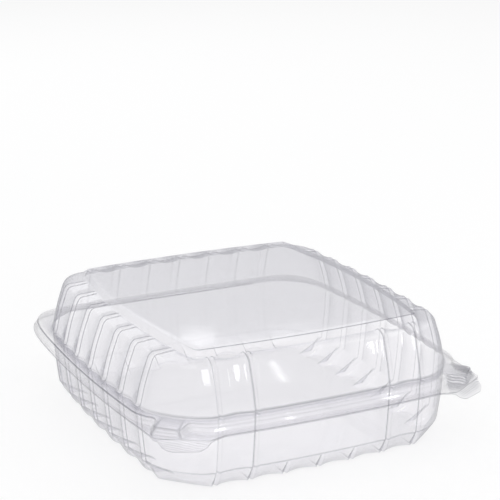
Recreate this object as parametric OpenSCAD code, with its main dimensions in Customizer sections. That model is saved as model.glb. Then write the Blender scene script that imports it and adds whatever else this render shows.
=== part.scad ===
// Clear hinged container: a tray and a domed lid formed from one thin sheet.
// The origin is the centre of the tray's floor, +X runs to the right along the
// front, +Y runs back to the hinge and +Z is up. All sizes are in millimetres.

/* [Overall] */
// Height of the closed container, with the sheet's parting plane halfway up
total_h = 76.8; // [72:0.2:84]
// Thickness of the formed sheet
sheet_t = 0.3; // [0.2:0.05:0.5]
// Gap between the lid's rim and the tray's rim nested inside it
rim_gap = 0.3; // [0.2:0.05:0.5]
// Half distance across the lid's walls where they meet the rim, mid side
wall_half = 98.2; // [94:0.2:104]
// How much further from the middle the front and back walls stand
depth_extra = 5.4; // [0:0.1:8]
// How far the side of the rim bows out between its corners
side_bow = 5.8; // [2:0.2:8]

/* [Lid] */
// Half width of the flat top panel, mid side
panel_half_x = 76.6; // [70:0.2:80]
// Distance from the middle to the panel's front edge, mid side
panel_front = 87.1; // [81:0.1:89]
// Distance from the middle to the panel's back edge, mid side
panel_back = 82.6; // [80:0.1:89]
// Bow of the panel's left and right edges
panel_bow_x = 7.4; // [3:0.2:9]
// Bow of the panel's front and back edges
panel_bow_y = 3.1; // [1:0.1:5]
// Drop of the steep step round the panel
step_drop = 4.2; // [3:0.1:6]
// Width of that step in plan
step_run = 1.6; // [1:0.1:3]
// Half distance across the knee where the shoulder turns down into the wall
knee_half = 89.8; // [86:0.2:93]
// Size of the rounding at the knee
knee_round = 2; // [1:0.1:4]
// How far the knee bows out between its corners
knee_bow = 4.2; // [2:0.1:6]
// How far the lid's wall bulges out between the knee and the rim
wall_bulge = 0.8; // [0:0.1:2]

/* [Ribs] */
// Distance between ribs on the front and the back
rib_pitch_front = 21; // [18:0.5:22]
// Distance between ribs on the left and the right
rib_pitch_side = 22.1; // [18:0.1:23]
// Half distance between the two crests of a rib on the sides and the back
rib_crest = 2.6; // [1:0.1:3]
// Half width of such a rib at its foot
rib_foot = 4.5; // [3.2:0.1:5]
// Half distance between the two crests of a rib on the front
front_crest = 1.5; // [1:0.1:3]
// Half width of such a rib at its foot
front_foot = 3.2; // [3.2:0.1:5]
// Height of the crests
rib_ridge = 0.6; // [0.2:0.1:1]
// Depth of the groove between the crests
rib_groove = 0.9; // [0.3:0.1:1.2]
// Depth of the scooped panel between two ribs
rib_flute = 0.6; // [0:0.1:1.2]
// Extra scoop of those panels where they meet the rim
rim_scoop = 0.6; // [0:0.1:1.5]
// Extra scoop of those panels where they meet the step, and rise of the ribs there
step_scoop = 0.7; // [0:0.1:1]

/* [Tray] */
// Half width of the floor, mid side
floor_half = 89.2; // [84:0.2:92]
// Height of the knee where the wall turns under
tray_knee_z = 9.9; // [7:0.1:14]
// Half distance across the tray's knee
tray_knee_half = 94.8; // [92:0.2:97]
// Depth of the notches that the ribs cut into the front of the floor's edge
notch_depth = 3.4; // [1:0.2:5]
// Depth of the wider notches on the other three sides
side_notch = 8; // [3:0.5:9]
// Depth of the scallops between the notches
scallop_depth = 1.8; // [0:0.2:3]

/* [Rim] */
// Width of the flat flange on top of the rim
flange_w = 6.3; // [4:0.1:9]
// Height of the flange above the parting plane
rim_rise = 4.9; // [3.5:0.1:7]
// How far the skirt under the flange flares out
skirt_flare = 0.9; // [0.4:0.1:2]
// Width of the small step halfway down the skirt
skirt_step = 0.5; // [0.2:0.1:1]
// Width of the trimmed lip at the left and the right
lip_side = 0.9; // [0.6:0.1:4]
// Width of the trimmed lip at the front
lip_front = 6.4; // [2:0.2:10]
// Extra width of the flange on the hinge side
back_extra = 2.3; // [1:0.1:6]
// Width of the lip between the skirt and the hinge
lip_back = 1.2; // [0.8:0.1:4]
// Length of the hinge fold
hinge_len = 128; // [80:1:130]
// Thickness of the hinge fold
hinge_d = 0.9; // [0.8:0.1:1.2]

/* [Corner tabs] */
// Reach of the hollow snap button beyond the corner of the flange
button_reach = 11; // [7:0.5:12]
// Distance of the lift tab's side end from the middle, in X and in Y
tab_side_end = [101.5, 102.4];
// Distance of the lift tab's front end from the middle, in X and in Y
tab_front_end = [76, 117.4];
// How far the tray's lift tab drops below its lip
tray_tab_drop = 4.2; // [2:0.2:8]
// How far the tray's lift tab stands out past the lid's
tray_tab_out = 4.5; // [0:0.5:8]

/* [Hidden] */

// The plane where lid and tray meet and where the sheet is trimmed
trim_z = total_h / 2;
lip_z = trim_z + rim_gap / 2 + sheet_t;
flange_z = trim_z + rim_rise;
nest = sheet_t + rim_gap;
flange_half = wall_half + flange_w;
skirt_half = flange_half + skirt_flare;
hinge_y = skirt_half + depth_extra + skirt_step + back_extra + lip_back;
snap_dir = [0.62, 0.78];

// A row describes one level of a shell: half sizes at mid side, bows at the
// corners, corner fullness, height, rib depths, growth of the snap buttons, depth
// of the notches at the sides and the back and the style of its front corners
HX = 0;
HF = 1;
HB = 2;
BX = 3;
BF = 4;
BB = 5;
KF = 6;
KB = 7;
ZZ = 8;
GROOVE = 9;
RIDGE = 10;
FLUTE = 11;
MID = 12;
GROWN = 13;
DEEP = 14;
STYLE = 15;
PLAIN = 0;
BUTTON = 1;
LID_TAB = 2;
TRAY_TAB = 3;

function row(half, bow, full, z, rib = [0, 0, 0], mid = 0, deep = 0) =
    [half, half + depth_extra, half + depth_extra, bow, bow, bow, full, full, z,
     rib[0], rib[1], rib[2], mid, 0, deep, PLAIN];

function panel_row(out, z, rib = [0, 0, 0]) =
    [panel_half_x + out, panel_front + out, panel_back + out, panel_bow_x,
     panel_bow_y, panel_bow_y, 0.95, 0.8, z, rib[0], rib[1], rib[2], 0, 0, 0, PLAIN];

function rim_row(out, z) =
    [flange_half + out, flange_half + depth_extra + out, flange_half + depth_extra + back_extra + out,
     side_bow + 1, side_bow, 0, 0.4, 0.78, z, 0, 0, 0, 0, out, 0, BUTTON];

function lip_row(gap, style) =
    [skirt_half + skirt_step + lip_side, skirt_half + depth_extra + lip_front, hinge_y - gap,
     side_bow + 1, side_bow, 0, 0.4, 0.78, lip_z, 0, 0, 0, 0, 0, 0, style];

wall_rib = [rib_groove, rib_ridge, rib_flute];
rim_rib = [rib_groove, rib_ridge / 2, rib_flute + rim_scoop];
step_rib = [rib_groove / 2, rib_ridge + step_scoop, rib_flute + step_scoop];
knee_z = total_h - step_drop - 0.8;
wall_mid_z = (knee_z - knee_round + flange_z) / 2;

// The rim from its flange down to the foot of its skirt, as the top face of the lid
rim_rows = [
    rim_row(0, flange_z),
    rim_row(skirt_flare / 3, flange_z - rim_rise * 0.45),
    rim_row(skirt_flare / 3 + skirt_step, flange_z - rim_rise * 0.5),
    rim_row(skirt_flare + skirt_step, lip_z)];

// The lid from the edge of its top panel down to the rim, as its outer face
lid_rows = concat([
    panel_row(0, total_h),
    panel_row(step_run, total_h - step_drop),
    panel_row(step_run + 1.4, total_h - step_drop - 0.1, step_rib),
    row(knee_half - knee_round, knee_bow - 0.2, 0.6, knee_z, wall_rib),
    row(knee_half, knee_bow, 0.55, knee_z - knee_round, wall_rib),
    row((knee_half + wall_half) / 2 + wall_bulge, (knee_bow + side_bow) / 2, 0.5, wall_mid_z,
        wall_rib),
    row(wall_half, side_bow, 0.42, flange_z, rim_rib)], rim_rows,
    [lip_row(hinge_d / 2 + rim_gap, LID_TAB)]);

// The tray from the edge of its floor up to the rim, as its inner face
tray_rows = concat([
    row(floor_half - side_notch - 3, side_bow - 1, 0.45, sheet_t, [0.01, 0, 0], 1),
    row(floor_half, side_bow - 1, 0.05, sheet_t, [notch_depth, rib_ridge, scallop_depth], 1,
        side_notch),
    row(floor_half + (tray_knee_half - floor_half) * 0.42, side_bow - 1, 0.2, tray_knee_z * 0.36,
        [notch_depth * 0.9, rib_ridge, scallop_depth / 2], 1, side_notch * 0.35),
    row(tray_knee_half, side_bow - 0.6, 0.4, tray_knee_z, wall_rib),
    row((tray_knee_half + wall_half) / 2 + 0.3, side_bow - 0.3, 0.44, (tray_knee_z + flange_z) / 2,
        wall_rib),
    row(wall_half - sheet_t, side_bow, 0.42, flange_z - nest, rim_rib)],
    [for (i = [0:3]) moved(rim_rows, i, -nest)],
    [lowered(lip_row(hinge_d / 2 - 0.02, TRAY_TAB), nest)]);

// Direction across the sheet between two rows, pointing to its upper face
function across(a, b) = let (d = [b[HX] - a[HX], b[ZZ] - a[ZZ]]) [-d[1], d[0]] / norm(d);

// Mitred step across the sheet at row i, one millimetre thick
function mitre(rows, i) =
    let (a = i == 0 ? [0, 1] : across(rows[i - 1], rows[i]),
         b = i == len(rows) - 1 ? [0, 1] : across(rows[i], rows[i + 1]))
    (a + b) / (1 + a * b);

// Row i moved by d across the sheet
function moved(rows, i, d) =
    let (m = mitre(rows, i) * d, r = rows[i])
    [for (k = [0:STYLE]) k <= HB || k == GROWN ? r[k] + m[0] : k == ZZ ? r[k] + m[1] : r[k]];

function lowered(r, d) = [for (k = [0:STYLE]) k == ZZ ? r[k] - d : r[k]];

// Ribs stand out across the sheet, but stay level on the floor and at the rim
function outward(n) = n[0] < 0 ? -n : n;
function rib_dir(rows, i) =
    i == 0 || i > len(rows) - 2 || abs(rows[i][ZZ] - rows[i + 1][ZZ]) < 0.01
        || abs(rows[i][ZZ] - rows[i - 1][ZZ]) < 0.01 ? [1, 0]
    : outward(unit(mitre(rows, i)));

// Stations along one side: position, kind and rib number
EDGE = 0;
CREST = 1;
CHANNEL = 2;
SCOOP = 3;
rib_count = 7;

function stations(pitch, crest, foot) =
    [for (j = [0:rib_count - 1])
        let (c = (j - (rib_count - 1) / 2) * pitch,
             marks = [[-foot, EDGE], [-crest, CREST], [0, CHANNEL], [crest, CREST], [foot, EDGE]])
        each concat([for (m = marks) [c + m[0], m[1], j]],
            j < rib_count - 1 ? [[c + pitch / 2, SCOOP, j + 0.5]] : [])];

front_stations = stations(rib_pitch_front, front_crest, front_foot);
back_stations = stations(rib_pitch_front, rib_crest, rib_foot);
side_stations = stations(rib_pitch_side, rib_crest, rib_foot);
per_side = len(front_stations);

function lift(r, kind) = kind == CREST ? r[RIDGE] : kind == CHANNEL ? -r[GROOVE]
    : kind == SCOOP ? -r[FLUTE] : 0;

// Where the sides and the back have deep notches, the whole rib is cut back by them
function side_lift(r, kind) =
    r[DEEP] > 0 && (kind == CREST || kind == CHANNEL) ? -r[DEEP] : lift(r, kind);

// The three ribs in the middle of the front only notch the tray's lower edge
function front_lift(r, s) = lift(r, s[1]) * (abs(s[2] - (rib_count - 1) / 2) < 1.9 ? r[MID] : 1);

function across_x(r) = r[HX] - r[BX];
function at_front(r, s) = [s, -(r[HF] - r[BF] * pow(s / across_x(r), 2))];
function at_back(r, s) = [s, r[HB] - r[BB] * pow(s / across_x(r), 2)];
function at_side(r, s) =
    [r[HX] - r[BX] * pow(s / (s < 0 ? r[HF] - r[BF] : r[HB] - r[BB]), 2), s];

// Corner points run from the end of one side to the start of the next
soft_steps = [0.12, 0.24, 0.35, 0.43, 0.57, 0.65, 0.76, 0.88];
snap_steps = [0.12, 0.24, 0.345, 0.375, 0.625, 0.655, 0.76, 0.88];

function blend(a, b, t) = a + (b - a) * t;
function bezier(a, c, b, full, t) =
    let (h = blend(a, c, full), k = blend(b, c, full), u = 1 - t)
    a * pow(u, 3) + h * 3 * u * u * t + k * 3 * u * t * t + b * pow(t, 3);

// The right front corner as plan points with a height change
function front_corner(r) =
    let (a = at_front(r, front_stations[per_side - 1][0]),
         b = at_side(r, side_stations[0][0]),
         c = [across_x(r), -(r[HF] - r[BF])],
         f = [tab_front_end[0], -tab_front_end[1]],
         s = [tab_side_end[0], -tab_side_end[1]],
         o = [0.1, -1] * tray_tab_out)
    r[STYLE] == PLAIN ? [for (t = soft_steps) [each bezier(a, c, b, r[KF], t), 0]]
    : r[STYLE] == BUTTON
        ? [for (i = [0:7])
            let (p = bezier(a, c, b, r[KF], snap_steps[i]),
                 w = i < 2 || i > 5 ? 0 : i < 4 ? -r[GROWN] : r[GROWN],
                 q = p + [snap_dir[1], snap_dir[0]] * w)
            [each (i == 3 || i == 4 ? q + [snap_dir[0], -snap_dir[1]] * button_reach : q), 0]]
    : r[STYLE] == LID_TAB
        ? [for (p = [blend(a, f, 0.4), blend(a, f, 0.8), f, blend(f, s, 0.3), blend(f, s, 0.7), s,
            blend(s, b, 0.35), blend(s, b, 0.7)]) [each p, 0]]
    : [[each blend(a, f, 0.4), 0], [each blend(a, f, 0.7), -tray_tab_drop * 0.1],
        [each (f + [-0.5, tray_tab_out]), -tray_tab_drop * 0.5],
        [each (blend(f, s, 0.2) + o * 0.75), -tray_tab_drop],
        [each (blend(f, s, 0.75) + o * 1.5), -tray_tab_drop],
        [each (blend(f, s, 0.97)), -tray_tab_drop * 0.45], [each blend(s, b, 0.2), 0],
        [each blend(s, b, 0.6), 0]];

function back_corner(r) =
    let (a = at_side(r, side_stations[per_side - 1][0]),
         b = at_back(r, back_stations[per_side - 1][0]),
         c = [across_x(r), r[HB] - r[BB]])
    [for (t = soft_steps) [each bezier(a, c, b, r[KB], t), 0]];

function mirrored(points) =
    [for (i = [len(points) - 1:-1:0]) [-points[i][0], points[i][1], points[i][2]]];
function raised(points, z) = [for (p = points) [p[0], p[1], p[2] + z]];

// One closed ring of points at row r, with unit normal n in outward and up parts
function ring(r, n) =
    let (z = r[ZZ],
         right = [for (s = side_stations)
             let (p = at_side(r, s[0]), l = side_lift(r, s[1]))
             [p[0] + l * n[0], p[1], z + l * n[1]]],
         front = [for (s = front_stations)
             let (p = at_front(r, s[0]), l = front_lift(r, s))
             [p[0], p[1] - l * n[0], z + l * n[1]]],
         back = [for (i = [per_side - 1:-1:0])
             let (s = back_stations[i], p = at_back(r, s[0]), l = side_lift(r, s[1]))
             [p[0], p[1] + l * n[0], z + l * n[1]]],
         fc = raised(front_corner(r), z),
         bc = raised(back_corner(r), z))
    concat(front, fc, right, bc, back, mirrored(bc), mirrored(right), mirrored(fc));

// Plain rings keep only some of the points of a ribbed one
corner_count = len(soft_steps);
per_quarter = per_side + corner_count;
kept = [for (q = [0:3]) each concat([for (k = [0, 11, 20, 29, 40]) q * per_quarter + k],
    [for (k = [0:corner_count - 1]) q * per_quarter + per_side + k])];
function thinned(points) = [for (i = kept) points[i]];

function ribbed(r) = r[GROOVE] > 0;
function unit(v) = v / norm(v);

// All rings of one face of the sheet, d millimetres across it from the rows
function skin(rows, d) =
    [for (i = [0:len(rows) - 1])
        let (points = ring(moved(rows, i, d), rib_dir(rows, i)))
        ribbed(rows[i]) ? points : thinned(points)];

function starts(rings, i = 0, sum = 0) =
    i == len(rings) ? [sum] : concat([sum], starts(rings, i + 1, sum + len(rings[i])));

// Triangles between two rings of equal or of different density
function band(na, nb, a, b) =
    na == nb ? [for (i = [0:na - 1])
        let (j = (i + 1) % na)
        each [[a + i, a + j, b + i], [a + j, b + j, b + i]]]
    : na > nb ? [for (m = [0:nb - 1])
        let (m2 = (m + 1) % nb, last = m == nb - 1 ? na : kept[m + 1])
        each concat([for (d = [kept[m]:last - 1]) [a + d, a + (d + 1) % na, b + m]],
            [[a + last % na, b + m2, b + m]])]
    : [for (m = [0:na - 1])
        let (m2 = (m + 1) % na, last = m == na - 1 ? nb : kept[m + 1])
        each concat([for (d = [kept[m]:last - 1]) [a + m, b + (d + 1) % nb, b + d]],
            [[a + m, a + m2, b + last % nb]])];

function flipped(faces) = [for (f = faces) [f[2], f[1], f[0]]];

// A closed thin shell: two faces of sheet, joined along the trimmed edge
module shell(rows) {
    top = skin(rows, 0);
    under = skin(rows, -sheet_t);
    n = len(rows);
    first = starts(top);
    total = first[n];
    sheet_faces = [for (k = [0:n - 2]) each band(len(top[k]), len(top[k + 1]), first[k], first[k + 1])];
    rim_n = len(top[n - 1]);
    edge = [for (i = [0:rim_n - 1])
        let (j = (i + 1) % rim_n, a = first[n - 1], b = first[n - 1] + total)
        each [[a + i, a + j, b + i], [a + j, b + j, b + i]]];
    cap_n = len(top[0]);
    cap = [for (i = [0:cap_n - 1]) [2 * total, (i + 1) % cap_n, i]];
    under_cap = [for (i = [0:cap_n - 1]) [2 * total + 1, total + i, total + (i + 1) % cap_n]];
    lower = [for (f = flipped(sheet_faces)) f + [total, total, total]];
    polyhedron(
        points = concat([for (r = top) each r], [for (r = under) each r],
            [[0, 0, top[0][0][2]], [0, 0, under[0][0][2]]]),
        faces = concat(sheet_faces, lower, edge, cap, under_cap));
}

module tray() {
    color("#dfe2ea", 0.5) shell(tray_rows);
}

module lid() {
    color("#e9ebf2", 0.5) shell(lid_rows);
}

// The rolled fold along the back that the lid turns about
module living_hinge() {
    color("#d3d7e2", 0.6)
        translate([-hinge_len / 2, hinge_y, trim_z])
            rotate([0, 90, 0]) cylinder(h = hinge_len, d = hinge_d, $fn = 32);
}

tray();
lid();
living_hinge();
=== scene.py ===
"""Clear hinged container on a white studio floor. Lengths below are in millimetres, as in the
part's own source, and become metres when a mesh is made. The stage is in metres."""
import math

import bpy
import numpy as np
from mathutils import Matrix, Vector


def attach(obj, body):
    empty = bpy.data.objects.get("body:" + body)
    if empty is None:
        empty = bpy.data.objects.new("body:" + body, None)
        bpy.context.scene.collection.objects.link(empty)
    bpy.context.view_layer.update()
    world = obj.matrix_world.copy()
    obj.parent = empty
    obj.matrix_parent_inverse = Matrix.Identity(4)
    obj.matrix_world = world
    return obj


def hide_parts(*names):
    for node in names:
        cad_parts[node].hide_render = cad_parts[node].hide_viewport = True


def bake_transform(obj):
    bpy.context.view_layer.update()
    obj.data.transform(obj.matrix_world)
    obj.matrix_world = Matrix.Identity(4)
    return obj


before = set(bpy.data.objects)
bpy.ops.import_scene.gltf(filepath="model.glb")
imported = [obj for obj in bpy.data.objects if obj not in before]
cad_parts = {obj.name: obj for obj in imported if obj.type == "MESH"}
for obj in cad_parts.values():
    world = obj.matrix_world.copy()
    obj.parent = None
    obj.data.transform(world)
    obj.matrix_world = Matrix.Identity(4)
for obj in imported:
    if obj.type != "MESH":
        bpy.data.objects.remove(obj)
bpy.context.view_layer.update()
MM = 0.001
TINY = 1e-6

# Sizes shared with the solids: the whole container
TOTAL_H = 76.8
SHEET = 0.3
RIM_GAP = 0.3
WALL_HALF = 98.2
DEPTH_EXTRA = 5.4
SIDE_BOW = 5.8

# The lid's panel, the step and shoulder round it, and the knee
PANEL_X = 76.6
PANEL_FRONT = 87.1
PANEL_BACK = 82.6
PANEL_BOW_X = 7.4
PANEL_BOW_Y = 3.1
PANEL_INSET = 4
STEP_DROP = 4.2
STEP_RUN = 1.6
SHOULDER_RUN = 1.4
SHOULDER_DROP = 0.1
KNEE_DROP = 0.8
KNEE_HALF = 89.8
KNEE_ROUND = 2.0
KNEE_BOW = 4.2
WALL_BULGE = 0.8

# The ribs: two crests with a groove between them, and scooped spans from rib to rib
RIBS = 7
PITCH_FRONT = 21.0
PITCH_SIDE = 22.1
RIB_CREST = 2.6
RIB_FOOT = 4.5
FRONT_CREST = 1.5
FRONT_FOOT = 3.2
RIB_RIDGE = 0.6
RIB_GROOVE = 0.9
RIB_FLUTE = 0.6
RIM_SCOOP = 0.6
STEP_SCOOP = 0.7

# How wide crests and grooves spread, as shares of a rib's own sizes, how far the scoops reach
# into its foot, how steeply they fall and how far the tips between the notches are cut back
CREST_SPREAD = 0.45
GROOVE_SPREAD = 0.5
SCOOP_LAP = 0.6
SCOOP_POWER = 1.2
TIP_CUT = 1.3

# The tray's notched floor edge, its knee, and the heel between them. The heel's sizes are shares
# of the way from the floor's edge to the knee and of the side notch
FLOOR_HALF = 89.2
FLOOR_INSET = 3
TRAY_KNEE_Z = 9.9
TRAY_KNEE_HALF = 94.8
NOTCH = 3.4
SIDE_NOTCH = 8.0
SCALLOP = 1.8
HEEL_OUT = 0.42
HEEL_UP = 0.36
HEEL_NOTCH = 0.35
TRAY_BULGE = 0.3

# The nested rims, the lips and the hinge. The tray's lip sinks a little into the hinge
FLANGE_W = 6.3
RIM_RISE = 4.9
SKIRT_FLARE = 0.9
SKIRT_STEP = 0.5
SKIRT_STEP_TOP = 0.45
SKIRT_STEP_FOOT = 0.5
LIP_SIDE = 0.9
LIP_FRONT = 6.4
BACK_EXTRA = 2.3
LIP_BACK = 1.2
LIP_SINK = 0.02
HINGE_LEN = 128.0
HINGE_D = 0.9
HINGE_TURN = 0.3

# The snap buttons and lift tabs at the front corners. The right button points towards SNAP, to
# the side and to the front, and the right tab runs from its front end to its side end. Their
# turns are eased over a share of the stretches beside them
SNAP = (0.62, 0.78)
BUTTON_REACH = 11.0
BUTTON_TURN = 0.16
TAB_SIDE = (101.5, 102.4)
TAB_FRONT = (76.0, 117.4)
TAB_DROP = 4.2
TAB_OUT = 4.5
TAB_TURN = 0.2

# Where the lips turn off to the tabs, as shares of the way to the front end and from the side end
LID_TAB_TURNS = (0.8, 0.3)
TRAY_TAB_TURNS = (0.75, 0.2)

# The tray's tab. Its root drops by a share of TAB_DROP, and the root's front end stands back by
# the same share of TAB_OUT and is shifted towards the middle. Past the root the tab swells
# towards TAB_AIM. TAB_WIDEN is its reach near the front end and near the side end, as shares of
# TAB_OUT, and TAB_PAST is how far it may pass the front of the lid's tab
TAB_ROOT = 0.2
TAB_ROOT_SHIFT = 0.5
TAB_SWELL = 1.5
TAB_SWELL_POWER = 0.6
TAB_WIDEN = (0.75, 1.5)
TAB_AIM = (0.1, -1)
TAB_PAST = 0.3

# Sizes worked out from those above
TRIM_Z = TOTAL_H / 2
LIP_Z = TRIM_Z + RIM_GAP / 2 + SHEET
FLANGE_Z = TRIM_Z + RIM_RISE
KNEE_Z = TOTAL_H - STEP_DROP - KNEE_DROP
WALL_MID_Z = (KNEE_Z - KNEE_ROUND + FLANGE_Z) / 2
NEST = SHEET + RIM_GAP
FLANGE_HALF = WALL_HALF + FLANGE_W
SKIRT_HALF = FLANGE_HALF + SKIRT_FLARE
HINGE_Y = SKIRT_HALF + DEPTH_EXTRA + SKIRT_STEP + BACK_EXTRA + LIP_BACK
SHOULDER_BOW = KNEE_BOW - 0.2
WALL_BOW = (KNEE_BOW + SIDE_BOW) / 2
RIM_BOW = SIDE_BOW + 1
FLOOR_BOW = SIDE_BOW - 1
TRAY_KNEE_BOW = SIDE_BOW - 0.6
TRAY_WALL_BOW = SIDE_BOW - 0.3
MIDDLE_RIB = (RIBS - 1) / 2
FRONT_END = MIDDLE_RIB * PITCH_FRONT + FRONT_FOOT
BACK_END = MIDDLE_RIB * PITCH_FRONT + RIB_FOOT
SIDE_END = MIDDLE_RIB * PITCH_SIDE + RIB_FOOT

# Depth of the groove, height of the crests and depth of the scoops at each kind of level
WALL_RIB = (RIB_GROOVE, RIB_RIDGE, RIB_FLUTE)
RIM_RIB = (RIB_GROOVE, RIB_RIDGE / 2, RIB_FLUTE + RIM_SCOOP)
STEP_RIB = (RIB_GROOVE / 2, RIB_RIDGE + STEP_SCOOP, RIB_FLUTE + STEP_SCOOP)
FLOOR_RIB = (NOTCH * 0.6, 1.2, SCALLOP)
HEEL_RIB = (NOTCH * 0.5, 1.0, SCALLOP / 2)
NO_RIB = (0, 0, 0)

# How full the corners are at each level. At 0 a corner is cut straight, at 1 it is nearly square
FULL = {"panel_front": 0.95, "panel_back": 0.8, "shoulder": 0.6, "knee": 0.55, "wall": 0.5,
        "wall_foot": 0.42, "rim_front": 0.4, "rim_back": 0.78, "floor_inside": 0.45,
        "floor": 0.05, "heel": 0.2, "tray_knee": 0.4, "tray_wall": 0.44}

# Painted shade: darkness of the line painted along each turn at the front, at the left and at the
# back
TURN_PAINTED_SHADE = {"panel": (1.0, 0.1, 0.3), "step": (0.05, 0.05, 0.1), "wall_foot": (0.7, 0.3, 0.1),
              "flange": (0.12, 1.0, 0.1), "skirt": (0.2, 0.2, 0.05),
              "skirt_step": (0.1, 0.1, 0.03), "skirt_foot": (0.15, 0.3, 0.05),
              "floor": (0.15, 0.15, 0.1), "tray_knee": (0.5, 0.15, 0.1),
              "tray_wall_foot": (0.1, 0.1, 0.05), "nested": (0.03, 0.03, 0.02)}

# Painted shade: darkness of the lines painted down the ribs. The first groove is that of the
# front's leftmost rib, and near is the crest nearer the front
RIB_PAINTED_SHADE = {"front_groove": 0.7, "first_groove": 0.1, "front_crest": 0.1, "side_near": 0.35,
             "side_far": 0.65, "back_crest": 0.05}
GROOVE_LINE_W = 0.3
CREST_LINE_W = 0.32

# The painted shade in the spans between the ribs at the back begins at this share of a rib's foot
# and grows with this power
MOON_START = 0.7
MOON_POWER = 0.7

# Share of the left side's painted shade lines that the right side has, as the light reaches it
# softly
RIGHT_SOFT = 0.2

# Painted light: how much paler the foot of the walls and the back walls are painted, where many
# sheets lie in line
FOOT_PALE = 0.7
WALL_PALE = 0.3

# How strongly the fine ridges show at the right and at the left, as bumps and as painted shade
BUTTON_GRIP = (1.0, 0.2)
TAB_GRIP = (0.35, 0.35)
TAB_MIDDLE_GRIP = (1.3, 0.35)


# Levels of the two shells
def level(**given):
    """One level of a shell. hx, hf and hb are its half sizes to the side, the front and the
    back, bx, bf and bb the bows of those sides, kf and kb how full its front and back corners
    are, and z its height. groove, ridge and flute shape its ribs, keep is the share of them on
    the sides, mid the share in the middle of the front, and deep the depth of the notches in
    their place at the sides and the back. grown is how far the snap buttons have widened, style
    the kind of front corner and round the size of the rounding. The rest is painted shade: line
    along the turn, moon in the spans at the back, outline at the ends of the snap buttons,
    head along their tops and edge on the trimmed edge."""
    row = dict(mid=0, grown=0, deep=0, keep=1, style="plain", groove=0, ridge=0, flute=0,
               round=0.6, line=(0, 0, 0), moon=0, outline=0, head=0, edge=0)
    row.update(given)
    return row


def even(half, bow, full, z, rib=NO_RIB, **more):
    deep = half + DEPTH_EXTRA
    return level(hx=half, hf=deep, hb=deep, bx=bow, bf=bow, bb=bow, kf=FULL[full], kb=FULL[full],
                 z=z, groove=rib[0], ridge=rib[1], flute=rib[2], **more)


def panel(out, z, rib=NO_RIB, **more):
    return level(hx=PANEL_X + out, hf=PANEL_FRONT + out, hb=PANEL_BACK + out, bx=PANEL_BOW_X,
                 bf=PANEL_BOW_Y, bb=PANEL_BOW_Y, kf=FULL["panel_front"], kb=FULL["panel_back"],
                 z=z, groove=rib[0], ridge=rib[1], flute=rib[2], **more)


def rim(out, z, **more):
    deep = FLANGE_HALF + DEPTH_EXTRA + out
    return level(hx=FLANGE_HALF + out, hf=deep, hb=deep + BACK_EXTRA, bx=RIM_BOW,
                 bf=SIDE_BOW, bb=0, kf=FULL["rim_front"], kb=FULL["rim_back"], z=z, grown=out,
                 style="button", **more)


def lip(gap, style, z, **more):
    return level(hx=SKIRT_HALF + SKIRT_STEP + LIP_SIDE, hf=SKIRT_HALF + DEPTH_EXTRA + LIP_FRONT,
                 hb=HINGE_Y - gap, bx=RIM_BOW, bf=SIDE_BOW, bb=0, kf=FULL["rim_front"],
                 kb=FULL["rim_back"], z=z, style=style, **more)


def across(a, b):
    """Unit step across the sheet between two levels."""
    d = np.array([b["hx"] - a["hx"], b["z"] - a["z"]], float)
    d /= np.hypot(*d)
    return np.array([-d[1], d[0]])


def mitre(rows, i):
    """Step across the sheet at level i, outwards and upwards, for each millimetre of sheet."""
    up = np.array([0.0, 1.0])
    a = up if i == 0 else across(rows[i - 1], rows[i])
    b = up if i == len(rows) - 1 else across(rows[i], rows[i + 1])
    return (a + b) / (1 + a @ b)


def moved(rows, i, distance):
    """Level i moved across the sheet."""
    step = mitre(rows, i) * distance
    row = dict(rows[i])
    for size in ("hx", "hf", "hb", "grown"):
        row[size] += step[0]
    row["z"] += step[1]
    return row


def nested(i):
    """Level i of the rim on the tray, inside the lid's by the sheet and the gap."""
    return dict(moved(RIM_LEVELS, i, -NEST), line=TURN_PAINTED_SHADE["nested"], outline=0.1, head=0)


RIM_LEVELS = [
    rim(0, FLANGE_Z, round=1.0, line=TURN_PAINTED_SHADE["flange"], outline=0.5, head=0.5),
    rim(SKIRT_FLARE / 3, FLANGE_Z - RIM_RISE * SKIRT_STEP_TOP, round=0.25,
        line=TURN_PAINTED_SHADE["skirt"], outline=0.45),
    rim(SKIRT_FLARE / 3 + SKIRT_STEP, FLANGE_Z - RIM_RISE * SKIRT_STEP_FOOT, round=0.25,
        line=TURN_PAINTED_SHADE["skirt_step"], outline=0.45),
    rim(SKIRT_FLARE + SKIRT_STEP, LIP_Z, round=0.5, line=TURN_PAINTED_SHADE["skirt_foot"], outline=0.4)]

LID_LEVELS = [
    panel(-PANEL_INSET, TOTAL_H),
    panel(0, TOTAL_H, round=0.5, line=TURN_PAINTED_SHADE["panel"], moon=0.3),
    panel(STEP_RUN, TOTAL_H - STEP_DROP, line=TURN_PAINTED_SHADE["step"], moon=0.4),
    panel(STEP_RUN + SHOULDER_RUN, TOTAL_H - STEP_DROP - SHOULDER_DROP, STEP_RIB, keep=0.1),
    even(KNEE_HALF - KNEE_ROUND, SHOULDER_BOW, "shoulder", KNEE_Z, WALL_RIB, round=1.2),
    even(KNEE_HALF, KNEE_BOW, "knee", KNEE_Z - KNEE_ROUND, WALL_RIB, round=1.2),
    even((KNEE_HALF + WALL_HALF) / 2 + WALL_BULGE, WALL_BOW, "wall", WALL_MID_Z, WALL_RIB,
         round=9),
    even(WALL_HALF, SIDE_BOW, "wall_foot", FLANGE_Z, RIM_RIB, round=1.7,
         line=TURN_PAINTED_SHADE["wall_foot"]),
    *RIM_LEVELS,
    lip(HINGE_D / 2 + RIM_GAP, "lid_tab", LIP_Z, edge=0.8)]

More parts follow.
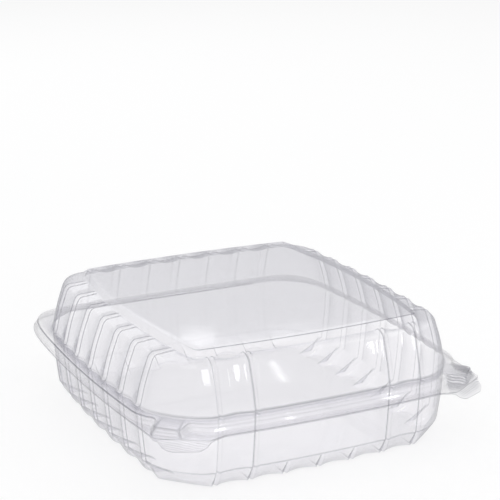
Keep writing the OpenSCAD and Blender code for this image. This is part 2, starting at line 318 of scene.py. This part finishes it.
TRAY_LEVELS = [
    even(FLOOR_HALF - SIDE_NOTCH - FLOOR_INSET, FLOOR_BOW, "floor_inside", SHEET, mid=1),
    even(FLOOR_HALF, FLOOR_BOW, "floor", SHEET, FLOOR_RIB, mid=1, deep=SIDE_NOTCH,
         line=TURN_PAINTED_SHADE["floor"]),
    even(FLOOR_HALF + (TRAY_KNEE_HALF - FLOOR_HALF) * HEEL_OUT, FLOOR_BOW, "heel",
         TRAY_KNEE_Z * HEEL_UP, HEEL_RIB, mid=1, deep=SIDE_NOTCH * HEEL_NOTCH, round=1.6),
    even(TRAY_KNEE_HALF, TRAY_KNEE_BOW, "tray_knee", TRAY_KNEE_Z, WALL_RIB, round=0.9,
         line=TURN_PAINTED_SHADE["tray_knee"]),
    even((TRAY_KNEE_HALF + WALL_HALF) / 2 + TRAY_BULGE, TRAY_WALL_BOW, "tray_wall",
         (TRAY_KNEE_Z + FLANGE_Z) / 2, WALL_RIB, round=8),
    even(WALL_HALF - SHEET, SIDE_BOW, "wall_foot", FLANGE_Z - NEST, RIM_RIB, round=0.8,
         line=TURN_PAINTED_SHADE["tray_wall_foot"]),
    *[nested(i) for i in range(len(RIM_LEVELS))],
    lip(HINGE_D / 2 - LIP_SINK, "tray_tab", LIP_Z - NEST, edge=0.4)]


# Stations along the sides
def rib_stations(pitch, crest, foot):
    """Positions along a side with the distance to the nearest rib and that rib's number, which
    ends in a half between two ribs. They stand closest where a rib turns."""
    in_groove, beside, between = (0.3, 0.65), 0.4, 4
    near = [0, *in_groove, crest - beside, crest, crest + beside, (crest + foot + beside) / 2,
            foot, foot + 2 * beside]
    out = []
    for j in range(RIBS):
        c = (j - MIDDLE_RIB) * pitch
        for d in [-x for x in near[:0:-1]] + near:
            if (j == 0 and d < -foot) or (j == RIBS - 1 and d > foot):
                continue
            out.append((c + d, d, j))
        if j < RIBS - 1:
            free = np.linspace(near[-1], pitch - near[-1], between + 2)[1:-1]
            out += [(c + d, d, j + 0.5) for d in free]
    return np.array(out)


FRONT = rib_stations(PITCH_FRONT, FRONT_CREST, FRONT_FOOT)
BACK = rib_stations(PITCH_FRONT, RIB_CREST, RIB_FOOT)
SIDE = rib_stations(PITCH_SIDE, RIB_CREST, RIB_FOOT)


def relief(row, stations, pitch, crest, foot, deep=0):
    """How far the sheet stands out at these stations for its ribs and scoops, or with a depth
    for the notches and the rounded tips between them."""
    d = np.abs(stations[:, 1])
    d = np.minimum(d, pitch - d)
    ridge = np.exp(-(((d - crest) / ((foot - crest) * CREST_SPREAD)) ** 2))
    groove = np.exp(-((d / (crest * GROOVE_SPREAD)) ** 2))
    scoop_start = foot - SCOOP_LAP
    t = np.clip((d - scoop_start) / (pitch / 2 - scoop_start), 0, 1)
    scoop = np.sin(t * math.pi / 2) ** SCOOP_POWER
    if deep:
        notch = np.clip((foot - d) / (foot - crest), 0, 1)
        return -deep * notch - row["flute"] * TIP_CUT * (1 - scoop)
    return row["ridge"] * ridge - row["groove"] * groove - row["flute"] * scoop


def outer_front(row):
    """One at the two outer ribs on each end of the front, and the level's share between them."""
    from_middle = np.abs(FRONT[:, 2] - MIDDLE_RIB)
    return np.where(from_middle < MIDDLE_RIB - 1, row["mid"], 1.0)


def between_ribs(stations, pitch, foot):
    """One in the middle between two ribs, falling to nothing at the ribs."""
    start = foot * MOON_START
    d = np.abs(stations[:, 1])
    t = np.clip((np.minimum(d, pitch - d) - start) / (pitch / 2 - start), 0, 1)
    inside = np.abs(stations[:, 0]) < pitch * MIDDLE_RIB
    return np.sin(t * math.pi / 2) ** MOON_POWER * inside


def stripes(row, stations, crest, groove_line, near_line, far_line):
    """Painted shade: darkness of the lines down the ribs at these stations. Each rib has one in
    its groove and one on each crest, the near one towards the start of the stations."""
    if not row["groove"]:
        return np.zeros(len(stations))
    d = stations[:, 1]
    near = near_line * np.exp(-(((d + crest) / CREST_LINE_W) ** 2))
    far = far_line * np.exp(-(((d - crest) / CREST_LINE_W) ** 2))
    groove = groove_line * np.exp(-((d / GROOVE_LINE_W) ** 2))
    return np.maximum(groove, np.maximum(near, far))


def blend(a, b, t):
    return np.asarray(a, float) + (np.asarray(b, float) - np.asarray(a, float)) * t


def eased(a, middle, b, w):
    """A point of the curve from a to b that rounds off the turn between them."""
    return a * (1 - w) ** 2 + middle * 2 * w * (1 - w) + b * w * w


def bezier(a, corner, b, full, t):
    """A point of the curve from a to b that is drawn towards the corner between them."""
    h, k, u = blend(a, corner, full), blend(b, corner, full), 1 - t
    return a * u**3 + h * 3 * u * u * t + k * 3 * u * t * t + b * t**3


# A corner runs in five stretches, so that a plain corner, a snap button and a lift tab match.
# Each of its points is a stretch and how far along that stretch it stands
BREAKS = (0.0, 0.345, 0.375, 0.625, 0.655, 1.0)
COUNTS = (7, 6, 12, 6, 7)
LAST = len(COUNTS) - 1
MIDDLE = LAST // 2
CORNER = [(i, k / n) for i, n in enumerate(COUNTS) for k in range(n) if i > 0 or k > 0]
CORNER_T = np.array([BREAKS[i] + (BREAKS[i + 1] - BREAKS[i]) * t for i, t in CORNER])


def rounded_path(points, turn):
    """A path through the six points of a corner. Its inner turns are eased over that share of
    the stretches beside them."""
    pts = [np.asarray(p, float) for p in points]
    out = []
    for i, t in CORNER:
        if t < turn and i > 0:
            j, w = i, (t / turn + 1) / 2
        elif t > 1 - turn and i < LAST:
            j, w = i + 1, (t - (1 - turn)) / turn / 2
        else:
            out.append(blend(pts[i], pts[i + 1], t))
            continue
        a, b, c = blend(pts[j], pts[j - 1], turn), pts[j], blend(pts[j], pts[j + 1], turn)
        out.append(eased(a, b, c, w))
    return out


def flat(path):
    """Plan points with no change of height."""
    return [(*p, 0) for p in path]


def curved_corner(a, corner, b, full):
    return flat([bezier(a, corner, b, full, t) for t in CORNER_T])


def button_corner(a, corner, b, row):
    """A corner that swings out round a snap button."""
    out = np.array([SNAP[0], -SNAP[1]]) * BUTTON_REACH
    grow = np.array([SNAP[1], SNAP[0]]) * row["grown"]
    p = [bezier(a, corner, b, row["kf"], t) for t in BREAKS]
    six = [a, p[1] - grow, p[2] - grow + out, p[3] + grow + out, p[4] + grow, b]
    path = rounded_path(six, BUTTON_TURN)
    for n, (i, t) in enumerate(CORNER):
        plain = bezier(a, corner, b, row["kf"], CORNER_T[n])
        if i == 0 and t <= 1 - BUTTON_TURN:
            path[n] = plain - grow * t
        if i == LAST and t >= BUTTON_TURN:
            path[n] = plain + grow * (1 - t)
    return flat(path)


def tab_ends():
    """The front and the side end of the right lift tab."""
    return np.array([TAB_FRONT[0], -TAB_FRONT[1]]), np.array([TAB_SIDE[0], -TAB_SIDE[1]])


def lid_tab_corner(a, b):
    front, side = tab_ends()
    to_tab, from_tab = LID_TAB_TURNS
    six = [a, blend(a, front, to_tab), front, side, blend(side, b, from_tab), b]
    return flat(rounded_path(six, TAB_TURN))


def tray_tab_corner(a, b):
    """The tray's lift tab stands out past the lid's and bends down."""
    front, side = tab_ends()
    to_tab, from_tab = TRAY_TAB_TURNS
    root = front + [-TAB_ROOT_SHIFT, TAB_OUT * TAB_ROOT]
    drop = -TAB_DROP * TAB_ROOT
    six = [(*a, 0), (*blend(a, front, to_tab), 0), (*root, drop), (*side, drop),
           (*blend(side, b, from_tab), 0), (*b, 0)]
    path = rounded_path(six, TAB_TURN)
    for n, (i, t) in enumerate(CORNER):
        if i == MIDDLE:
            bell = min(1.0, math.sin(math.pi * t) * TAB_SWELL) ** TAB_SWELL_POWER
            reach = TAB_OUT * bell * blend(*TAB_WIDEN, t)
            x, y = blend(front, side, t) + np.array(TAB_AIM) * reach
            y = max(y, -TAB_FRONT[1] - TAB_PAST)
            path[n] = np.array([x, y, -TAB_DROP * (TAB_ROOT + (1 - TAB_ROOT) * bell)])
    return [tuple(p) for p in path]


def front_corner(row, a, b):
    """Plan points and height changes of the right front corner."""
    corner = np.array([row["hx"] - row["bx"], -(row["hf"] - row["bf"])])
    if row["style"] == "button":
        return button_corner(a, corner, b, row)
    if row["style"] == "lid_tab":
        return lid_tab_corner(a, b)
    if row["style"] == "tray_tab":
        return tray_tab_corner(a, b)
    return curved_corner(a, corner, b, row["kf"])


def back_corner(row, a, b):
    corner = np.array([row["hx"] - row["bx"], row["hb"] - row["bb"]])
    return curved_corner(a, corner, b, row["kb"])


# Rings of points round the levels
def side_x(row, y):
    """How far out the side stands at a place along it."""
    end = np.where(np.asarray(y) < 0, row["hf"] - row["bf"], row["hb"] - row["bb"])
    return row["hx"] - row["bx"] * (y / end) ** 2


def ring(row, out):
    """One closed ring of a level, from the front's left end round by the right. The ribs stand
    out in the direction given, sideways and up."""
    z = row["z"]
    half = row["hx"] - row["bx"]

    def front_y(x):
        return -(row["hf"] - row["bf"] * (x / half) ** 2)

    def back_y(x):
        return row["hb"] - row["bb"] * (x / half) ** 2

    rise = relief(row, FRONT, PITCH_FRONT, FRONT_CREST, FRONT_FOOT) * outer_front(row)
    x = FRONT[:, 0]
    front = np.stack([x, front_y(x) - rise * out[0], z + rise * out[1]], 1)
    rise = relief(row, BACK, PITCH_FRONT, RIB_CREST, RIB_FOOT, row["deep"])
    x = BACK[:, 0]
    back = np.stack([x, back_y(x) + rise * out[0], z + rise * out[1]], 1)[::-1]
    rise = relief(row, SIDE, PITCH_SIDE, RIB_CREST, RIB_FOOT, row["deep"]) * row["keep"]
    y = SIDE[:, 0]
    right = np.stack([side_x(row, y) + rise * out[0], y, z + rise * out[1]], 1)

    front_end, back_end = (FRONT_END, front_y(FRONT_END)), (BACK_END, back_y(BACK_END))
    near_end, far_end = (side_x(row, -SIDE_END), -SIDE_END), (side_x(row, SIDE_END), SIDE_END)
    lift = [0, 0, z]
    near = np.array(front_corner(row, np.array(front_end), np.array(near_end))) + lift
    far = np.array(back_corner(row, np.array(far_end), np.array(back_end))) + lift
    flip = np.array([-1, 1, 1])
    return np.concatenate([front, near, right, far, back, (far * flip)[::-1],
                           (right * flip)[::-1], (near * flip)[::-1]])


def rib_direction(rows, i):
    """The direction in which ribs stand out at level i: square to the sheet, and level next to a
    flat stretch."""
    level_out = np.array([1.0, 0.0])
    if i == 0 or i > len(rows) - 2:
        return level_out
    z = rows[i]["z"]
    same_height = 0.01
    if min(abs(z - rows[i + 1]["z"]), abs(z - rows[i - 1]["z"])) < same_height:
        return level_out
    m = mitre(rows, i)
    m = m / np.hypot(*m)
    return -m if m[0] < 0 else m


def around(front, front_right, right, back_right, back, back_left, left, front_left):
    """Values at the stations and corners carried once round the ring, from the front's left end.
    The stations of both sides count from the front, and those of the back from the left."""
    f, s, b, c = (np.ones(len(places)) for places in (FRONT, SIDE, BACK, CORNER))
    return np.concatenate([f * front, c * front_right, s * right, c * back_right,
                           (b * back)[::-1], c * back_left, (s * left)[::-1],
                           (c * front_left)[::-1]])


def button_ends():
    """One at the two ends of a snap button's top and less just inside them."""
    top = [n for n, (i, _) in enumerate(CORNER) if i == MIDDLE]
    out = np.zeros(len(CORNER))
    just_inside = 0.4
    out[[top[1], top[-1]]] = just_inside
    out[[top[0], top[-1] + 1]] = 1.0
    return out


def marks(row):
    """Painted shade along the lines round one level: those of the ribs, and the turn's own."""
    groove = np.where(FRONT[:, 2] < 1, RIB_PAINTED_SHADE["first_groove"], RIB_PAINTED_SHADE["front_groove"])
    in_front = stripes(row, FRONT, FRONT_CREST, groove, 0, RIB_PAINTED_SHADE["front_crest"])
    in_front = in_front * outer_front(row)
    behind = stripes(row, BACK, RIB_CREST, 0, RIB_PAINTED_SHADE["back_crest"], RIB_PAINTED_SHADE["back_crest"])
    beside = stripes(row, SIDE, RIB_CREST, 0, RIB_PAINTED_SHADE["side_near"], RIB_PAINTED_SHADE["side_far"])
    if row["deep"]:
        behind, beside = 0 * behind, 0 * beside
    ends = button_ends() * row["outline"]
    # Painted shade in the spans between the ribs at the back
    moon = row["moon"] * between_ribs(BACK, PITCH_FRONT, RIB_FOOT)
    ribs = around(in_front, ends, beside * RIGHT_SOFT, 0, np.maximum(behind, moon), 0, beside,
                  ends)
    front, left, back = row["line"]
    right = left * RIGHT_SOFT
    head = np.array([row["head"] if i == MIDDLE else 0.0 for i, _ in CORNER])
    turn = around(front, np.maximum(blend(front, right, CORNER_T), head), right,
                  blend(right, back, CORNER_T), back, blend(left, back, CORNER_T)[::-1], left,
                  np.maximum(blend(front, left, CORNER_T), head))
    return ribs, turn


def turn_steps(row):
    """Number of stretches in the rounding of a turn, more where the rounding is larger."""
    if row["round"] > 1.5:
        return 6
    return 4 if row["round"] > 0.3 else 2


def skin(rows, distance):
    """All rings of one face of the sheet with their painted shade lines, and the turns rounded."""
    keys = [ring(moved(rows, i, distance), rib_direction(rows, i)) for i in range(len(rows))]
    dark, turns = zip(*[marks(row) for row in rows])
    out, painted_shade_lines = [keys[0]], [dark[0]]
    last = len(rows) - 1
    longest_share, middle_share, edge_band = 0.48, 0.45, 0.8
    for i in range(1, last):
        p, before, after = keys[i], keys[i - 1], keys[i + 1]
        to_before = np.linalg.norm(before - p, axis=1, keepdims=True)
        to_after = np.linalg.norm(after - p, axis=1, keepdims=True)
        fa = np.minimum(rows[i]["round"] / np.maximum(to_before, TINY), longest_share)
        fb = np.minimum(rows[i]["round"] / np.maximum(to_after, TINY), longest_share)
        a, b = p + (before - p) * fa, p + (after - p) * fb
        dark_a = dark[i] + (dark[i - 1] - dark[i]) * fa[:, 0]
        dark_b = dark[i] + (dark[i + 1] - dark[i]) * fb[:, 0]
        steps = turn_steps(rows[i])
        for w in np.arange(steps + 1) / steps:
            out.append(eased(a, p, b, w))
            # Painted shade: the line along a turn is darkest in the middle of its rounding
            peak = turns[i] * (1 - abs(2 * w - 1))
            painted_shade_lines.append(np.maximum(eased(dark_a, dark[i], dark_b, w), peak))
    edge = keys[last]
    half_way = edge + (out[-1] - edge) * middle_share
    reach = np.linalg.norm(half_way - edge, axis=1, keepdims=True)
    beside_edge = edge + (half_way - edge) * np.minimum(edge_band / np.maximum(reach, TINY), 1)
    out += [half_way, beside_edge, edge]
    none = np.zeros(len(edge))
    painted_shade_lines += [none, none, none + rows[last]["edge"]]
    return out, painted_shade_lines


def carried(rows, values, half_way_value=None):
    """One array of values for each level, repeated for every ring that a skin makes of it. The
    ring half way out on the lip can have its own."""
    out = [values[0]]
    for row, one in zip(rows[1:-1], values[1:-1]):
        out += [one] * (turn_steps(row) + 1)
    lip_values = values[-1]
    out += [lip_values if half_way_value is None else half_way_value, lip_values, lip_values]
    return np.concatenate(out)


def grips(rows):
    """How strongly the ridges show, as bumps and as painted shade: on the tops of the snap buttons
    and on the lift tabs.
    """
    inner = np.array([1.0 if 0 < i < LAST else 0.0 for i, _ in CORNER])

    def at_corners(right, left):
        return around(0, inner * right, 0, 0, 0, 0, 0, inner * left)

    none = at_corners(0, 0)
    kinds = {"button": at_corners(*BUTTON_GRIP), "tray_tab": at_corners(*TAB_GRIP)}
    on_tray = rows[-1]["style"] == "tray_tab"
    half_way = at_corners(*TAB_MIDDLE_GRIP) if on_tray else none
    return carried(rows, [kinds.get(row["style"], none) for row in rows], half_way)


def rims(rows):
    """One on the rim, whose nested sheets would otherwise look too grey together, and part of it
    at the back and along the foot of the walls, where many sheets lie one behind another. The film
    is painted paler there, as painted light."""
    def rear(right, back):
        return around(0, blend(0, right, CORNER_T), right, blend(right, back, CORNER_T), back,
                      blend(0, back, CORNER_T)[::-1], 0, 0)

    values = []
    for i, row in enumerate(rows):
        if row["style"] != "plain":
            values.append(rear(0, 0) + 1)
        elif i < 2:
            values.append(rear(0, 0))
        elif rows[i + 1]["style"] == "button":
            values.append(rear(FOOT_PALE, FOOT_PALE))
        else:
            values.append(rear(0, WALL_PALE))
    return carried(rows, values)


# Meshes
def linked(name, mesh):
    obj = bpy.data.objects.new(name, mesh)
    bpy.context.collection.objects.link(obj)
    return obj


def skin_quads(n, m):
    """Faces of both skins, each of m rings of n points, the top skin's points first."""
    j = np.arange(n)
    j2 = (j + 1) % n
    under = n * m
    quads = []
    for k in range(m - 1):
        a, b = k * n, (k + 1) * n
        quads.append(np.stack([a + j, b + j, b + j2, a + j2], 1))
        quads.append(np.stack([under + a + j2, under + b + j2, under + b + j, under + a + j], 1))
    return np.concatenate(quads)


def edge_quads(n, m):
    """Faces of the trimmed edge, between the last rings of the two skins."""
    j = np.arange(n)
    j2 = (j + 1) % n
    a, b = (m - 1) * n, (2 * m - 1) * n
    return np.stack([a + j, b + j, b + j2, a + j2], 1)


def shell(name, rows, body, sheet_mat):
    """A closed thin shell of two skins, joined along the trimmed edge. Only the top skin has
    painted shade lines, so that none shows twice."""
    top, painted_shade_lines = skin(rows, 0)
    under, _ = skin(rows, -SHEET)
    n, m = len(top[0]), len(top)
    sheet_faces, edge_faces = skin_quads(n, m), edge_quads(n, m)
    caps = [list(range(n)), [n * m + i for i in range(n - 1, -1, -1)]]
    faces = sheet_faces.tolist() + edge_faces.tolist() + caps
    mesh = bpy.data.meshes.new(name)
    mesh.from_pydata((np.concatenate(top + under) * MM).tolist(), [], faces)
    on_edge = np.zeros(len(faces), int)
    on_edge[len(sheet_faces):len(sheet_faces) + n] = 1
    mesh.polygons.foreach_set("use_smooth", on_edge == 0)
    mesh.materials.append(sheet_mat)
    mesh.materials.append(edge_mat)
    mesh.polygons.foreach_set("material_index", on_edge)
    mesh.update()
    # Painted shade along turns and ribs, on the top skin only
    painted_shade_amount = np.concatenate(painted_shade_lines)
    values = {"painted_shade_lines": np.concatenate([painted_shade_amount, 0 * painted_shade_amount]), "grip": np.tile(grips(rows), 2),
              "rim": np.tile(rims(rows), 2)}
    for label, numbers in values.items():
        layer = mesh.attributes.new(label, "FLOAT", "POINT")
        layer.data.foreach_set("value", numbers.astype(np.float32))
    obj = linked(name, mesh)
    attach(obj, body)
    return obj


def hinge_film():
    """The film between the two lips: it leaves the tray's lip, turns round and meets the lid's."""
    r = HINGE_TURN
    flat_under, flat_over, turn_points = 0.2, 0.3, 13
    path = [(-HINGE_D / 2 + LIP_SINK, -r), (-flat_under, -r)]
    half_turn = np.linspace(-math.pi / 2, math.pi / 2, turn_points)
    path += [(r * math.cos(t), r * math.sin(t)) for t in half_turn]
    path += [(-flat_over, r), (-HINGE_D / 2 - RIM_GAP, r)]
    verts = [(x * MM, (HINGE_Y + y) * MM, (TRIM_Z + z) * MM)
             for x in (-HINGE_LEN / 2, HINGE_LEN / 2) for y, z in path]
    k = len(path)
    faces = [(i, i + 1, k + i + 1, k + i) for i in range(k - 1)]
    mesh = bpy.data.meshes.new("hinge_film")
    mesh.from_pydata(verts, [], faces)
    mesh.polygons.foreach_set("use_smooth", [True] * len(faces))
    mesh.materials.append(edge_mat)
    obj = linked("hinge_film", mesh)
    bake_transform(obj)
    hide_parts("living_hinge")


# Materials
# Painted light: RIM_FACE_ON and RIM_PALE paint the rim, the wall foot and the back walls paler
RIM_FACE_ON = (0.989, 0.988, 0.992)
RIM_PALE = 0.94
# Painted shade: the grey that the lines along turns and ribs and the fine ridges are painted
# towards
PAINTED_SHADE_GREY = (0.36, 0.36, 0.4)
RIDGE_HEIGHT = 0.5
# Painted shade on the fine ridges of the buttons and tabs
RIDGE_PAINTED_SHADE = 0.35
MIRROR_POWER = 4.0
MIRROR_SHARE = 0.6


def empty_material(name):
    mat = bpy.data.materials.new(name)
    mat.use_nodes = True
    nt = mat.node_tree
    nt.nodes.clear()
    return mat, nt


def add(nt, kind, **values):
    """A node. A value whose name starts with in_ goes to that input, any other is a setting."""
    node = nt.nodes.new(kind)
    for k, v in values.items():
        if k.startswith("in_"):
            node.inputs[k[3:].replace("_", " ")].default_value = v
        else:
            setattr(node, k, v)
    return node


def math_node(nt, op, a, b):
    """The result of a sum. Each of a and b is a number or another node's output."""
    node = add(nt, "ShaderNodeMath", operation=op)
    for i, x in enumerate((a, b)):
        if isinstance(x, (int, float)):
            node.inputs[i].default_value = x
        else:
            nt.links.new(x, node.inputs[i])
    return node.outputs[0]


def mixed(nt, share, a, b):
    """Colour a going over to b with the share. Each colour is plain or another node's output."""
    node = add(nt, "ShaderNodeMix", data_type="RGBA")
    nt.links.new(share, node.inputs[0])
    for i, x in ((6, a), (7, b)):
        if isinstance(x, tuple):
            node.inputs[i].default_value = (*x, 1)
        else:
            nt.links.new(x, node.inputs[i])
    return node.outputs[2]


def clear_sheet(name, face_on, edge_on, power, shine):
    """Thin clear film: it lets light through, greyer where it is seen edge on, and it mirrors more
    at a slant. Painted shade darkens it along the tight turns, the rib lines and the fine ridges,
    and it is painted paler on the rim, the wall foot and the back walls."""
    mat, nt = empty_material(name)
    link = nt.links.new
    painted_shade_lines, grip, on_painted_pale = (add(nt, "ShaderNodeAttribute", attribute_name=label).outputs["Fac"]
                           for label in ("painted_shade_lines", "grip", "rim"))
    coords = add(nt, "ShaderNodeTexCoord")
    grain = add(nt, "ShaderNodeTexNoise", in_Scale=38.0, in_Detail=2.0)
    link(coords.outputs["Object"], grain.inputs["Vector"])
    ridges = add(nt, "ShaderNodeTexWave", in_Scale=260.0, in_Distortion=2.5,
                 bands_direction="DIAGONAL")
    link(coords.outputs["Object"], ridges.inputs["Vector"])
    ridged = math_node(nt, "MULTIPLY", ridges.outputs["Fac"], grip)
    raised = math_node(nt, "MULTIPLY", ridged, RIDGE_HEIGHT)
    bump = add(nt, "ShaderNodeBump", in_Strength=0.09, in_Distance=0.0006)
    link(math_node(nt, "ADD", grain.outputs["Fac"], raised), bump.inputs["Height"])
    facing = add(nt, "ShaderNodeLayerWeight", in_Blend=0.5)
    link(bump.outputs["Normal"], facing.inputs["Normal"])

    slant = math_node(nt, "POWER", facing.outputs["Facing"], power)
    # Painted light: the rim, the wall foot and the back walls are painted paler
    kept = math_node(nt, "SUBTRACT", 1.0, math_node(nt, "MULTIPLY", on_painted_pale, RIM_PALE))
    slant = math_node(nt, "MULTIPLY", slant, kept)
    tint = mixed(nt, slant, mixed(nt, on_painted_pale, face_on, RIM_FACE_ON), edge_on)
    # Painted shade: the lines along turns and ribs, and the dark painted on the fine ridges
    painted_shade_amount = math_node(nt, "MAXIMUM", painted_shade_lines, math_node(nt, "MULTIPLY", ridged, RIDGE_PAINTED_SHADE))
    through = add(nt, "ShaderNodeBsdfTransparent")
    link(mixed(nt, math_node(nt, "MINIMUM", painted_shade_amount, 1.0), tint, PAINTED_SHADE_GREY), through.inputs["Color"])

    gloss = add(nt, "ShaderNodeBsdfGlossy", in_Roughness=0.06)
    link(bump.outputs["Normal"], gloss.inputs["Normal"])
    mirror = math_node(nt, "POWER", facing.outputs["Facing"], MIRROR_POWER)
    mirror = math_node(nt, "ADD", math_node(nt, "MULTIPLY", mirror, MIRROR_SHARE), shine)
    mirror = math_node(nt, "MULTIPLY", mirror, math_node(nt, "SUBTRACT", 1.0, painted_shade_amount))
    mix = add(nt, "ShaderNodeMixShader")
    link(mirror, mix.inputs[0])
    link(through.outputs[0], mix.inputs[1])
    link(gloss.outputs[0], mix.inputs[2])
    link(mix.outputs[0], add(nt, "ShaderNodeOutputMaterial").inputs["Surface"])
    return mat


lid_mat = clear_sheet("lid_film", (0.985, 0.983, 0.99), (0.69, 0.69, 0.73), 3.0, 0.035)
tray_mat = clear_sheet("tray_film", (0.985, 0.983, 0.99), (0.83, 0.83, 0.85), 3.0, 0.035)
edge_mat = clear_sheet("cut_edge", (0.5, 0.5, 0.54), (0.4, 0.4, 0.44), 1.0, 0.1)

# Pieces
lid = shell("lid_shell", LID_LEVELS, "lid", lid_mat)
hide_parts("lid")
tray = shell("tray_shell", TRAY_LEVELS, "tray", tray_mat)
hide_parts("tray")
hinge_film()


# Stage
FLOOR_SIZE = 16
FLOOR_PLACE = (0, 2, 0)
FLOOR_WHITE = (0.45, 0.45, 0.452, 1)
FLOOR_GLOW = 0.63
ROOM_LIGHT = 0.62
ROOM_LOOK = 0.98


def white_floor():
    """A white floor that glows a little of itself, so that it stays white round the shadow."""
    mat, nt = empty_material("studio_white")
    diffuse = add(nt, "ShaderNodeBsdfDiffuse", in_Color=FLOOR_WHITE)
    glow = add(nt, "ShaderNodeEmission", in_Color=(1, 1, 1, 1))
    rays = add(nt, "ShaderNodeLightPath").outputs
    seen = math_node(nt, "MAXIMUM", rays["Is Camera Ray"], rays["Is Glossy Ray"])
    seen = math_node(nt, "MAXIMUM", seen, rays["Is Transmission Ray"])
    nt.links.new(math_node(nt, "MULTIPLY", seen, FLOOR_GLOW), glow.inputs["Strength"])
    both = add(nt, "ShaderNodeAddShader")
    nt.links.new(diffuse.outputs[0], both.inputs[0])
    nt.links.new(glow.outputs[0], both.inputs[1])
    out = add(nt, "ShaderNodeOutputMaterial")
    nt.links.new(both.outputs[0], out.inputs["Surface"])
    bpy.ops.mesh.primitive_plane_add(size=FLOOR_SIZE, location=FLOOR_PLACE)
    floor = bpy.context.object
    floor.name = "floor"
    floor.data.materials.append(mat)


def white_world():
    """A white room, dimmer as a light than it looks."""
    world = bpy.data.worlds.new("studio")
    bpy.context.scene.world = world
    world.use_nodes = True
    nt = world.node_tree
    nt.nodes.clear()
    rays = add(nt, "ShaderNodeLightPath").outputs
    seen = math_node(nt, "MAXIMUM", rays["Is Camera Ray"], rays["Is Transmission Ray"])
    seen = math_node(nt, "MAXIMUM", seen, rays["Is Glossy Ray"])
    strength = add(nt, "ShaderNodeMapRange", in_To_Min=ROOM_LIGHT, in_To_Max=ROOM_LOOK)
    nt.links.new(seen, strength.inputs["Value"])
    white = add(nt, "ShaderNodeBackground", in_Color=(1, 1, 1, 1))
    nt.links.new(strength.outputs[0], white.inputs["Strength"])
    out = add(nt, "ShaderNodeOutputWorld")
    nt.links.new(white.outputs[0], out.inputs["Surface"])


def softbox(name, place, aim, size, power, shape="RECTANGLE"):
    data = bpy.data.lights.new(name, "AREA")
    data.shape = shape
    data.size, data.size_y = size
    data.energy = power
    lamp = linked(name, data)
    lamp.location = place
    lamp.rotation_mode = "QUATERNION"
    lamp.rotation_quaternion = (Vector(aim) - Vector(place)).to_track_quat("-Z", "Y")


white_floor()
white_world()

# Three large lamps light the object, in metres and watts
OBJECT_MIDDLE = (0, 0, 0.04)
softbox("key", (-0.9, -0.9, 1.3), OBJECT_MIDDLE, (1.3, 1.3), 4)
softbox("fill", (1.2, -0.5, 1.0), OBJECT_MIDDLE, (1.0, 1.0), 2.5)
softbox("rim", (0.2, 1.4, 1.1), OBJECT_MIDDLE, (1.6, 0.9), 3)

# Small weak lamps stand where the camera sees them mirrored: four in the curved shoulder of the
# lid's front wall, and one in the panel near its left front corner
CORNER_SPOT, RIB_SPOT = (-0.067, -0.094, 0.066), (-0.05, -0.095, 0.066)
RIGHT_SPOT, THIN_SPOT = (0.035, -0.096, 0.066), (-0.0288, -0.096, 0.066)
PANEL_SPOT = (-0.06, -0.067, 0.077)
softbox("catch_corner", (-0.08, -1.33, 0.468), CORNER_SPOT, (0.36, 0.2), 0.7, "ELLIPSE")
softbox("catch_rib", (0.2105, -1.3, 0.4785), RIB_SPOT, (0.14, 0.22), 0.5, "ELLIPSE")
softbox("catch_right", (0.759, -1.111, 0.435), RIGHT_SPOT, (0.045, 0.15), 0.17, "ELLIPSE")
softbox("catch_thin", (0.465, -1.2537, 0.3915), THIN_SPOT, (0.01, 0.21), 0.055)
softbox("catch_panel", (0.445, 1.048, 0.516), PANEL_SPOT, (0.055, 0.018), 0.0032, "ELLIPSE")

# Camera, fitted to the photograph
AZIMUTH, ELEVATION = math.radians(-25.0268), math.radians(20.1437)
DISTANCE = 0.9657
AIM = Vector((-0.015158, 0.009091, 0.038))
SHIFT_RIGHT, SHIFT_UP = 0.023353, 0.062121
FOCAL_PIXELS, PICTURE_PIXELS, SENSOR_MM = 1592.805, 500, 36


def add_camera():
    back = Vector((math.sin(AZIMUTH) * math.cos(ELEVATION),
                   -math.cos(AZIMUTH) * math.cos(ELEVATION), math.sin(ELEVATION)))
    right = Vector((math.cos(AZIMUTH), math.sin(AZIMUTH), 0))
    up = back.cross(right)
    data = bpy.data.cameras.new("camera")
    data.sensor_width = SENSOR_MM
    data.lens = FOCAL_PIXELS / PICTURE_PIXELS * SENSOR_MM
    camera = linked("camera", data)
    camera.location = AIM + back * DISTANCE
    camera.rotation_mode = "QUATERNION"
    look = -back + right * SHIFT_RIGHT + up * SHIFT_UP
    camera.rotation_quaternion = look.to_track_quat("-Z", "Y")
    bpy.context.scene.camera = camera


add_camera()
scene = bpy.context.scene
scene.view_settings.view_transform = "Standard"
scene.cycles.transparent_max_bounces = 48
scene.cycles.max_bounces = 12
scene.cycles.glossy_bounces = 4
